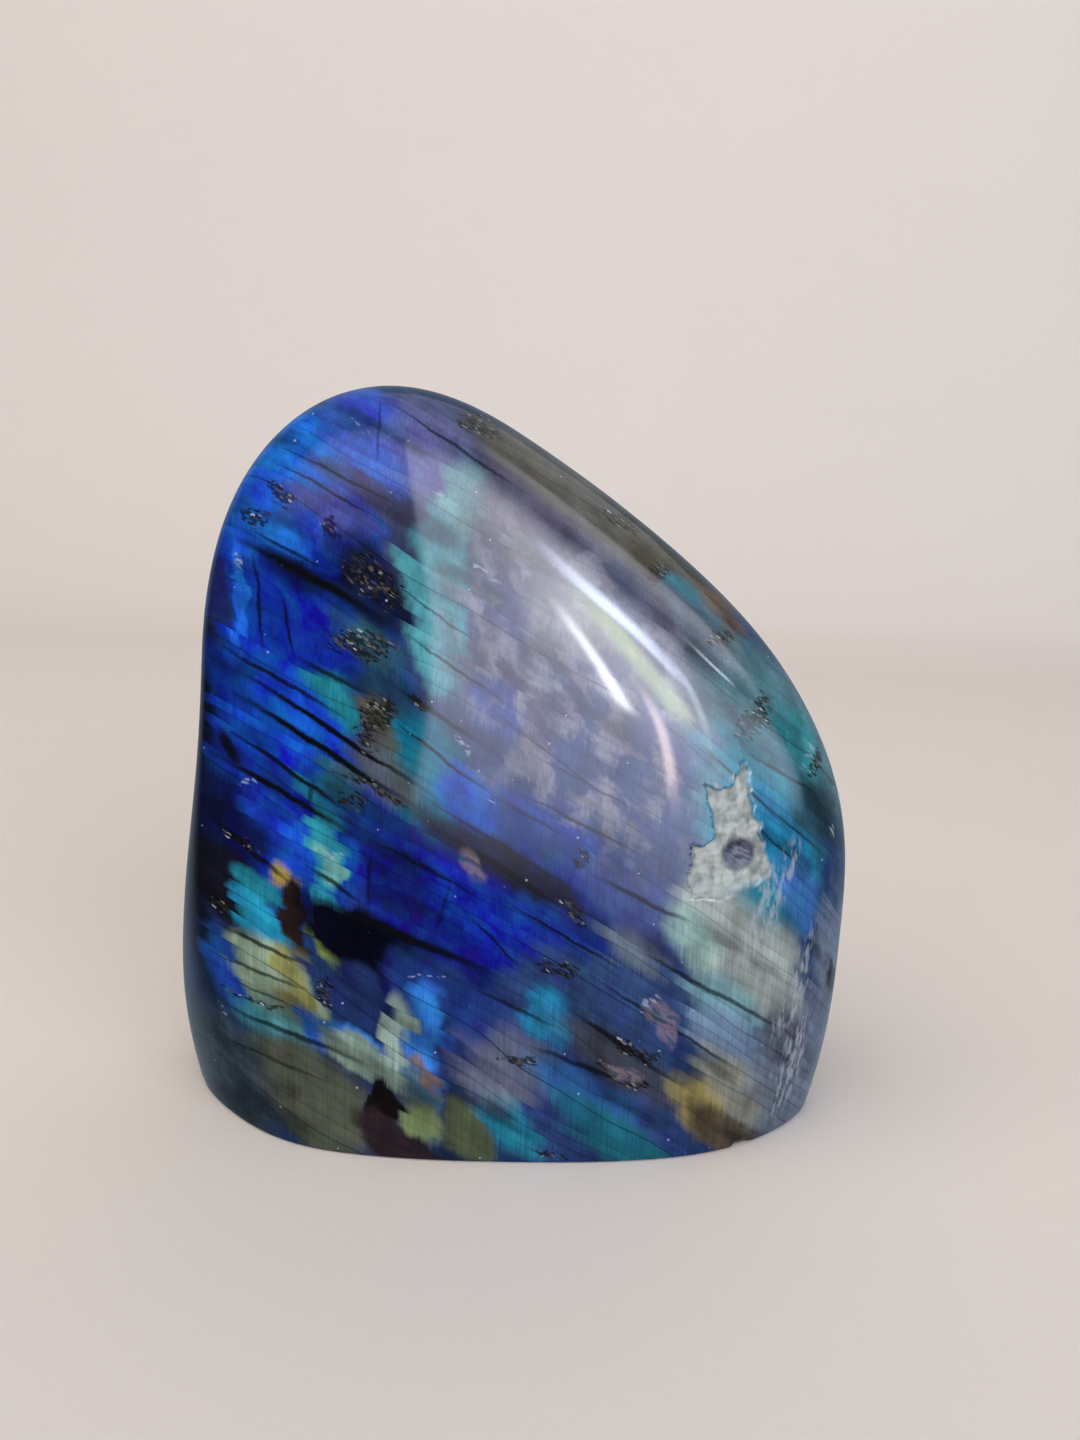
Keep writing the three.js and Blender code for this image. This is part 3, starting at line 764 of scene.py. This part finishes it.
flash_and_haze = linear(GROUND)
for name, colour, across, up, half_width, half_height, soft, strength in FLASH_AND_HAZE_ZONES:
    grown = ZONE_GROWTH * (1 + soft)
    fade = node(
        tree, "ShaderNodeTexGradient", {"Vector": zone_plan}, output=1, gradient_type="SPHERICAL",
        mapping={
            "vector_type": "TEXTURE",
            "translation": (across, 0, up),
            "scale": (half_width * grown, 1, half_height * grown),
        },
    )
    share = node(
        tree, "ShaderNodeMapRange",
        {"Value": fade, "From Max": 2 * soft / (1 + soft), "To Max": strength},
        interpolation_type="SMOOTHSTEP", clamp=False,
    )
    flash_and_haze = node(
        tree, "ShaderNodeMix", {0: share, 6: flash_and_haze, 7: linear(colour)},
        output=2, data_type="RGBA", label=name,
    )


def add_mark(mask, place, middle, half, tilt, full, strength):
    """Lay one oval mark into a mask: full strength in its middle, gone at its edge."""
    fade = node(
        tree, "ShaderNodeTexGradient", {"Vector": place}, output=1, gradient_type="SPHERICAL",
        mapping={
            "vector_type": "TEXTURE",
            "translation": (middle[0], 0, middle[1]),
            "rotation": (0, -tilt, 0),
            "scale": (half[0], 1, half[1]),
        },
    )
    share = node(
        tree, "ShaderNodeMapRange", {"Value": fade, "From Max": full, "To Max": strength},
        interpolation_type="SMOOTHSTEP", clamp=False,
    )
    return node(tree, "ShaderNodeMath", {0: share, 1: mask}, operation="MAXIMUM")


# Milky clouds under the shoulder, where the layers scatter instead of flashing, with painted
# reflection in
# them: the grey-lavender haze of the window mirrored on the shoulder, mottled by the clouds
milk = node(
    tree, "ShaderNodeTexNoise", {"Vector": zone_plan, "Scale": 1 / 5.5, "Detail": 5},
    mapping={"scale": (1, 1, 0.8)},
)
milk = node(
    tree, "ShaderNodeMapRange",
    {"Value": milk, "From Min": 0.45, "From Max": 0.62, "To Max": 0.72},
    interpolation_type="SMOOTHSTEP", clamp=False,
)
# the part of the shoulder where the painted window haze lies
haze_area = add_mark(0.0, zone_plan, (9, 77), (27, 33), 0, 0.45, 1.0)
milk = node(tree, "ShaderNodeMath", {0: milk, 1: haze_area}, operation="MULTIPLY")
# the painted reflection haze, grey-lavender, mixed into the colour
flash_and_haze = node(
    tree, "ShaderNodeMix", {0: milk, 6: flash_and_haze, 7: linear("#8d92a0")}, output=2, data_type="RGBA",
)

# Back and sides: mostly dull, with patches of blue about 30 mm across that turn teal here and there
patches = node(
    tree, "ShaderNodeTexNoise", {"Vector": zone_plan, "Scale": 1 / 30, "Detail": 3},
    mapping={"scale": (1, 1, 0.7)},
)
patches = node(
    tree, "ShaderNodeMapRange", {"Value": patches, "From Min": 0.44, "From Max": 0.58},
    interpolation_type="SMOOTHSTEP", clamp=False,
)
teal_share = node(
    tree, "ShaderNodeTexNoise", {"Vector": zone_plan, "Scale": 1 / 16, "Detail": 2},
    mapping={"scale": (1, 1, 0.7)},
)
teal_share = node(
    tree, "ShaderNodeMapRange", {"Value": teal_share, "From Min": 0.42, "From Max": 0.62},
    interpolation_type="SMOOTHSTEP", clamp=False,
)
back_flash = node(
    tree, "ShaderNodeMix", {0: teal_share, 6: linear("#16368c"), 7: linear("#2a7f92")},
    output=2, data_type="RGBA",
)
back_flash = node(
    tree, "ShaderNodeMix", {0: patches, 6: linear(DULL_STONE), 7: back_flash},
    output=2, data_type="RGBA",
)
behind = node(
    tree, "ShaderNodeMapRange", {"Value": y, "From Min": 1, "From Max": 10},
    interpolation_type="SMOOTHSTEP", clamp=False,
)
colour = node(
    tree, "ShaderNodeMix", {0: behind, 6: flash_and_haze, 7: back_flash}, output=2, data_type="RGBA",
)

# The flash swells and sinks: by cloudy patches, from slab to slab, across each slab, by twin bands
swell = node(
    tree, "ShaderNodeTexNoise", {"Vector": mm, "Scale": 1 / 4.5, "Detail": 4},
    mapping={"scale": (1, 1, 0.6)},
)
swell = node(tree, "ShaderNodeMath", {0: swell, 1: 1.6, 2: 0.14}, operation="MULTIPLY_ADD")
slab_tone = node(
    tree, "ShaderNodeMath", {0: slab_chance, 1: 0.28, 2: 0.84}, operation="MULTIPLY_ADD",
)
swell = node(tree, "ShaderNodeMath", {0: swell, 1: slab_tone}, operation="MULTIPLY")
across_slab = node(
    tree, "ShaderNodeMapRange", {"Value": slab_share, "From Max": 0.5, "To Min": 0.92, "To Max": 1.03},
    interpolation_type="SMOOTHSTEP", clamp=False,
)
swell = node(tree, "ShaderNodeMath", {0: swell, 1: across_slab}, operation="MULTIPLY")
banding = node(tree, "ShaderNodeMath", {0: fibres, 1: 0.76, 2: 0.6}, operation="MULTIPLY_ADD")
swell = node(tree, "ShaderNodeMath", {0: swell, 1: banding}, operation="MULTIPLY")

# Its hue wanders a little within a zone
turn = node(
    tree, "ShaderNodeTexNoise", {"Vector": zone_plan, "Scale": 1 / 3.5, "Detail": 3},
    mapping={"scale": (1, 1, 0.7)},
)
turn = node(tree, "ShaderNodeMath", {0: turn, 1: 0.08, 2: 0.46}, operation="MULTIPLY_ADD")
colour = node(
    tree, "ShaderNodeHueSaturation",
    {"Color": colour, "Hue": turn, "Saturation": 0.995, "Value": swell},
)

# Clouds where the layers are too thick or thin to flash, drawn out along the planes
clouds = node(
    tree, "ShaderNodeTexNoise", {"Vector": sheet, "Scale": 1 / 7, "Detail": 4},
    mapping={"scale": (0.35, 0.5, 1)},
)
clouds = node(
    tree, "ShaderNodeMapRange",
    {"Value": clouds, "From Min": 0.5, "From Max": 0.3, "To Max": 0.6},
    interpolation_type="SMOOTHSTEP", clamp=False,
)
colour = node(
    tree, "ShaderNodeMix", {0: clouds, 6: colour, 7: linear("#0b0e18")}, output=2, data_type="RGBA",
)

# Fine partings: dark hairlines along the planes, strong in some stretches and lost in others
hair_drift = node(
    tree, "ShaderNodeTexNoise", {"Vector": sheet, "Scale": 1 / 8, "Detail": 3},
    mapping={"scale": (0.3, 0.3, 1)},
)
hair_drift = node(tree, "ShaderNodeMath", {0: hair_drift, 1: HAIR_DRIFT}, operation="MULTIPLY")
hair = node(
    tree, "ShaderNodeMath", {0: level, 1: 1 / HAIRLINE_GAP, 2: hair_drift},
    operation="MULTIPLY_ADD",
)
hair = node(tree, "ShaderNodeMath", {0: hair, 1: 0.5}, operation="PINGPONG")
hair = node(
    tree, "ShaderNodeMapRange", {"Value": hair, "From Min": 0.16, "From Max": 0.02},
    interpolation_type="SMOOTHSTEP", clamp=False,
)
hair_strength = node(
    tree, "ShaderNodeTexNoise", {"Vector": sheet, "Scale": 1 / 5, "Detail": 3},
    mapping={"scale": (0.3, 0.4, 1)},
)
hair_strength = node(
    tree, "ShaderNodeMapRange",
    {"Value": hair_strength, "From Min": 0.56, "From Max": 0.74, "To Max": 0.4},
    interpolation_type="SMOOTHSTEP", clamp=False,
)
hair = node(tree, "ShaderNodeMath", {0: hair, 1: hair_strength}, operation="MULTIPLY")
slab_line = node(
    tree, "ShaderNodeMapRange", {"Value": slab_share, "From Min": 0.1, "From Max": 0.02},
    interpolation_type="SMOOTHSTEP", clamp=False,
)
rarely = node(tree, "ShaderNodeMath", {0: slab_chance, 1: 2.5}, operation="POWER")
slab_line = node(tree, "ShaderNodeMath", {0: slab_line, 1: rarely}, operation="MULTIPLY")
darkness = node(tree, "ShaderNodeMath", {0: hair, 1: slab_line}, operation="MAXIMUM")

# Cracks: each tapers to its ends, wavers a little and is ragged
waver = node(
    tree, "ShaderNodeTexNoise", {"Vector": mm, "Scale": 1 / 7, "Detail": 2}, output="Color",
)
waver = node(
    tree, "ShaderNodeVectorMath", {0: waver, 1: (1.6, 0, 1.6), 2: (-0.8, 0, -0.8)},
    operation="MULTIPLY_ADD",
)
tatter = node(
    tree, "ShaderNodeTexNoise", {"Vector": mm, "Scale": 1 / 0.8, "Detail": 2}, output="Color",
)
tatter = node(
    tree, "ShaderNodeVectorMath", {0: tatter, 1: (0.5, 0, 0.5), 2: (-0.25, 0, -0.25)},
    operation="MULTIPLY_ADD",
)
crack_plan = node(tree, "ShaderNodeVectorMath", {0: plan, 1: waver}, operation="ADD")
crack_plan = node(tree, "ShaderNodeVectorMath", {0: crack_plan, 1: tatter}, operation="ADD")
for (ax, al), (bx, bl), half, strength in CRACKS:
    darkness = add_mark(
        darkness, crack_plan, ((ax + bx) / 2, (al + bl) / 2),
        (math.hypot(bx - ax, bl - al) / 2 + CRACK_TAIL, CRACK_SPREAD * half),
        math.atan2(bl - al, bx - ax), 0.7, strength,
    )
colour = node(
    tree, "ShaderNodeMix", {0: darkness, 6: colour, 7: linear("#08080c")},
    output=2, data_type="RGBA",
)

# Grit: grains from soot to brown and glassy grey, crowded in the clusters
bent_face = node(tree, "ShaderNodeVectorMath", {0: face, 1: bend}, operation="ADD")


def marks(spots, rim):
    """A mask that is 1 in any of the spots and fades over a rim, given as a share of each."""
    mask = 0.0
    for across, up, half_long, half_broad, tilt in spots:
        mask = add_mark(
            mask, bent_face, (across, up), (half_long * (1 + rim), half_broad * (1 + rim)),
            math.radians(tilt), 2 * rim / (1 + rim), 1.0,
        )
    return mask


grain_colour = node(
    tree, "ShaderNodeTexVoronoi", {"Vector": sheet, "Scale": 1 / GRAIN, "Randomness": 1.0},
    output="Color", mapping={"scale": (0.5, 0.5, 1)},
)
chance, tone, _ = node(tree, "ShaderNodeSeparateXYZ", {0: grain_colour}).node.outputs
grain = node(tree, "ShaderNodeValToRGB", {"Fac": tone}, output="Color")
steps = grain.node.color_ramp
steps.interpolation = "CONSTANT"
steps.elements[0].color = linear("#0c0b0b")
steps.elements[1].position = 0.48
steps.elements[1].color = linear("#211d16")
for position, hue in ((0.7, "#2e2c2a"), (0.84, "#4e483e"), (0.93, "#7a7a7c"), (0.98, "#b2b6ba")):
    steps.elements.new(position).color = linear(hue)
crowd = marks(GRIT, 0.55)
crowd = node(tree, "ShaderNodeMath", {0: crowd, 1: chance}, operation="SUBTRACT")
crowd = node(
    tree, "ShaderNodeMapRange", {"Value": crowd, "From Min": 0.0, "From Max": 0.3, "To Max": 0.82},
    interpolation_type="SMOOTHSTEP", clamp=False,
)
colour = node(
    tree, "ShaderNodeMix", {0: crowd, 6: colour, 7: grain}, output=2, data_type="RGBA",
)

# Pale flakes: glassy slivers that catch the light, and stray specks of the same
slivers = node(
    tree, "ShaderNodeTexNoise", {"Vector": sheet, "Scale": 1 / 0.6, "Detail": 4},
    mapping={"scale": (0.45, 0.45, 1)},
)
slivers = node(
    tree, "ShaderNodeMapRange", {"Value": slivers, "From Min": 0.5, "From Max": 0.62, "To Max": 0.6},
    interpolation_type="SMOOTHSTEP", clamp=False,
)
flakes = marks(PALE_FLAKES, 0.35)
flakes = node(tree, "ShaderNodeMath", {0: flakes, 1: slivers}, operation="MULTIPLY")
speck_place = node(
    tree, "ShaderNodeTexVoronoi", {"Vector": mm, "Scale": 1 / SPECK_GAP, "Randomness": 1.0},
    output="Distance",
)
speck_size = node(tree, "ShaderNodeSeparateXYZ", {0: speck_place.node.outputs["Color"]})
speck_size = node(
    tree, "ShaderNodeMapRange",
    {"Value": speck_size, "From Min": 0.35, "From Max": 1.0, "To Max": 0.08},
    interpolation_type="SMOOTHSTEP", clamp=False,
)
specks = node(tree, "ShaderNodeMath", {0: speck_size, 1: speck_place}, operation="SUBTRACT")
specks = node(
    tree, "ShaderNodeMapRange", {"Value": specks, "From Min": -0.02, "From Max": 0.02, "To Max": 0.7},
    interpolation_type="SMOOTHSTEP", clamp=False,
)
flakes = node(tree, "ShaderNodeMath", {0: flakes, 1: specks}, operation="MAXIMUM")
colour = node(
    tree, "ShaderNodeMix", {0: flakes, 6: colour, 7: linear("#a4b4cc")},
    output=2, data_type="RGBA",
)

# Feathers: a belt of silvery cleavage splinters down the right bevel
splinters = node(
    tree, "ShaderNodeTexNoise", {"Vector": mm, "Scale": 1 / 0.8, "Detail": 3},
    mapping={"scale": (1, 1, 0.3)},
)
splinters = node(
    tree, "ShaderNodeMapRange",
    {"Value": splinters, "From Min": 0.42, "From Max": 0.62, "To Max": 0.6},
    interpolation_type="SMOOTHSTEP", clamp=False,
)
feathers = marks(FEATHERS, 0.4)
feathers = node(tree, "ShaderNodeMath", {0: feathers, 1: splinters}, operation="MULTIPLY")
colour = node(
    tree, "ShaderNodeMix", {0: feathers, 6: colour, 7: linear("#a6b2be")},
    output=2, data_type="RGBA",
)

# Rainbow flakes: mauve-grey, running to pink, ochre and green at their edges
rainbow = marks(RAINBOW_FLAKES, 0.3)
rainbow_turn = node(
    tree, "ShaderNodeTexNoise", {"Vector": sheet, "Scale": 1, "Detail": 4},
    mapping={"scale": (0.4, 0.4, 1)},
)
rainbow_colour = node(tree, "ShaderNodeValToRGB", {"Fac": rainbow_turn}, output="Color")
steps = rainbow_colour.node.color_ramp
steps.elements[0].position = 0.34
steps.elements[0].color = linear("#2f6a58")
steps.elements[1].position = 0.68
steps.elements[1].color = linear("#a8848e")
for position, hue in ((0.42, "#5c5468"), (0.5, "#8a8298"), (0.56, "#a08a7a"), (0.62, "#7a7084")):
    steps.elements.new(position).color = linear(hue)
rainbow = node(tree, "ShaderNodeMath", {0: rainbow, 1: 0.45}, operation="MULTIPLY")
colour = node(
    tree, "ShaderNodeMix", {0: rainbow, 6: colour, 7: rainbow_colour},
    output=2, data_type="RGBA",
)

# The hollow: broken feldspar, pale and streaky, with a mauve-grey pit; it fades out at its foot
# where the wheel began to catch it
frost = node(tree, "ShaderNodeAttribute", output="Fac", attribute_name="unpolished")
foot = node(
    tree, "ShaderNodeMapRange", {"Value": z, "From Min": 44.5, "From Max": 51},
    interpolation_type="SMOOTHSTEP", clamp=False,
)
frost_share = node(tree, "ShaderNodeMath", {0: frost, 1: foot}, operation="MULTIPLY")
streaks = node(
    tree, "ShaderNodeTexNoise", {"Vector": mm, "Scale": 1 / 1.6, "Detail": 4},
    mapping={"scale": (1, 1, 0.6)},
)
streaks = node(
    tree, "ShaderNodeMapRange", {"Value": streaks, "From Min": 0.34, "From Max": 0.66},
    interpolation_type="SMOOTHSTEP", clamp=False,
)
broken = node(
    tree, "ShaderNodeMix", {0: streaks, 6: linear("#68716f"), 7: linear("#a0a9a3")},
    output=2, data_type="RGBA",
)
in_pit = add_mark(0.0, face, PIT_MIDDLE, (3.2, 3.2), 0, 0.35, 1.0)
pit_grain = node(
    tree, "ShaderNodeMix", {0: chance, 6: linear("#181b23"), 7: linear("#50566a")},
    output=2, data_type="RGBA",
)
broken = node(
    tree, "ShaderNodeMix", {0: in_pit, 6: broken, 7: pit_grain}, output=2, data_type="RGBA",
)
colour = node(
    tree, "ShaderNodeMix", {0: frost_share, 6: colour, 7: broken}, output=2, data_type="RGBA",
)

# Chips at the foot are fresh dark breaks
low_down = node(tree, "ShaderNodeMath", {0: z, 1: 10}, operation="LESS_THAN")
chip_share = node(tree, "ShaderNodeMath", {0: frost, 1: low_down}, operation="MULTIPLY")
colour = node(
    tree, "ShaderNodeMix", {0: chip_share, 6: colour, 7: linear("#4a4640")},
    output=2, data_type="RGBA",
)
tree.links.new(colour, shader.inputs["Base Color"])

# Glassy where the wheel reached, matt where the stone is broken
roughness = node(
    tree, "ShaderNodeMath", {0: frost, 1: BROKEN_ROUGHNESS - POLISH_ROUGHNESS, 2: POLISH_ROUGHNESS},
    operation="MULTIPLY_ADD",
)
tree.links.new(roughness, shader.inputs["Roughness"])
mesh.materials.append(labradorite)
